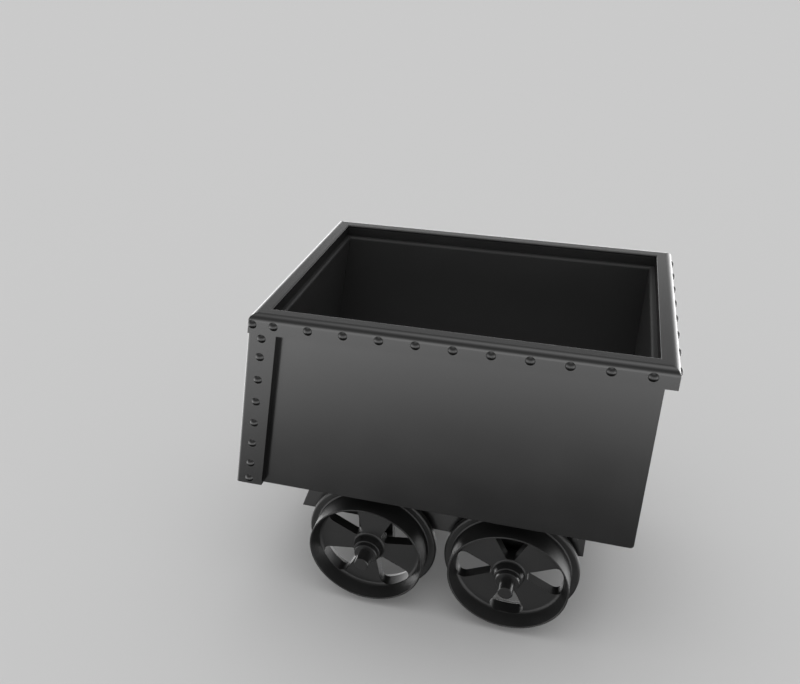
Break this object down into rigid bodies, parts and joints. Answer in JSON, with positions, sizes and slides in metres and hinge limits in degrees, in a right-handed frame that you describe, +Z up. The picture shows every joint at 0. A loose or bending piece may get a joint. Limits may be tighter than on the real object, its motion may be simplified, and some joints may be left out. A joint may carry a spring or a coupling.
{
  "type": "mine cart",
  "caption": "Open steel mine tub with a riveted rim, a leaning rear end and a short sole-bar frame on flanged, spoked wheels that turn freely on fixed axles.",
  "frame": {"origin": "under the middle of the cart's overall box, level with the lowest point of the wheel flanges", "axes": "+X to the upright front end, -Y to the near side with the measured wheels, +Z up"},
  "size_m": [1.3202, 0.842, 1.1195],
  "materials": {
    "tub_plate": "semi-gloss black paint on rolled plate",
    "rim_steel": "semi-gloss black paint on pressed steel",
    "inner_steel": "semi-gloss black paint",
    "liner_board": "close-boarded hardwood, tarred black and rubbed smooth",
    "rivet_steel": "gloss black paint over domed heads",
    "bolt_steel": "gloss black paint",
    "frame_steel": "semi-gloss black paint",
    "pedestal_iron": "painted casting, satin black",
    "wheel_iron": "painted casting, gloss black, burnished on the tread",
    "axle_steel": "black turned steel",
    "collar_steel": "black turned steel",
    "bush_bronze": "dull bearing bronze"
  },
  "bodies": {
    "cart": {"axle_collars_front": "collar_steel", "axle_collars_rear": "collar_steel", "axle_front": "axle_steel", "axle_keep_front_far": "pedestal_iron", "axle_keep_front_near": "pedestal_iron", "axle_keep_rear_far": "pedestal_iron", "axle_keep_rear_near": "pedestal_iron", "axle_rear": "axle_steel", "collar_pins": "collar_steel", "floor_bolts": "bolt_steel", "floor_plate": "tub_plate", "frame_bolts": "bolt_steel", "front_end_panel": "tub_plate", "headstock_front": "frame_steel", "headstock_rear": "frame_steel", "liner_far": "liner_board", "liner_front": "liner_board", "liner_near": "liner_board", "liner_rear": "liner_board", "pedestal_bolts": "bolt_steel", "pedestal_front_far": "pedestal_iron", "pedestal_front_near": "pedestal_iron", "pedestal_rear_far": "pedestal_iron", "pedestal_rear_near": "pedestal_iron", "post_packing_far": "inner_steel", "post_packing_near": "inner_steel", "post_rivets_far": "rivet_steel", "post_rivets_near": "rivet_steel", "rear_corner_post_far": "rim_steel", "rear_corner_post_near": "rim_steel", "rear_end_panel": "tub_plate", "rim_cap_far": "rim_steel", "rim_cap_front": "rim_steel", "rim_cap_near": "rim_steel", "rim_cap_rear": "rim_steel", "rim_lip_far": "inner_steel", "rim_lip_front": "inner_steel", "rim_lip_near": "inner_steel", "rim_lip_rear": "inner_steel", "rim_packing_far": "inner_steel", "rim_packing_front": "inner_steel", "rim_packing_near": "inner_steel", "rim_packing_rear": "inner_steel", "rim_rivets_far": "rivet_steel", "rim_rivets_front": "rivet_steel", "rim_rivets_near": "rivet_steel", "rim_rivets_rear": "rivet_steel", "side_panel_far": "tub_plate", "side_panel_near": "tub_plate", "sole_bar_far": "frame_steel", "sole_bar_near": "frame_steel", "thrust_washers": "collar_steel"},
    "front_near_wheel": {"wheel_front_near": "wheel_iron", "hub_bush_front_near": "bush_bronze"},
    "front_far_wheel": {"wheel_front_far": "wheel_iron", "hub_bush_front_far": "bush_bronze"},
    "rear_near_wheel": {"wheel_rear_near": "wheel_iron", "hub_bush_rear_near": "bush_bronze"},
    "rear_far_wheel": {"wheel_rear_far": "wheel_iron", "hub_bush_rear_far": "bush_bronze"}
  },
  "joints": [
    {"name": "front_near_wheel_spin", "type": "hinge", "parent": "cart", "child": "front_near_wheel", "pos_m": [0.25709, -0.312, 0.2275], "axis": [0, 1, 0], "continuous": true},
    {"name": "front_far_wheel_spin", "type": "hinge", "parent": "cart", "child": "front_far_wheel", "pos_m": [0.25709, 0.312, 0.2275], "axis": [0, 1, 0], "continuous": true},
    {"name": "rear_near_wheel_spin", "type": "hinge", "parent": "cart", "child": "rear_near_wheel", "pos_m": [-0.22641, -0.312, 0.2275], "axis": [0, 1, 0], "continuous": true},
    {"name": "rear_far_wheel_spin", "type": "hinge", "parent": "cart", "child": "rear_far_wheel", "pos_m": [-0.22641, 0.312, 0.2275], "axis": [0, 1, 0], "continuous": true}
  ]
}
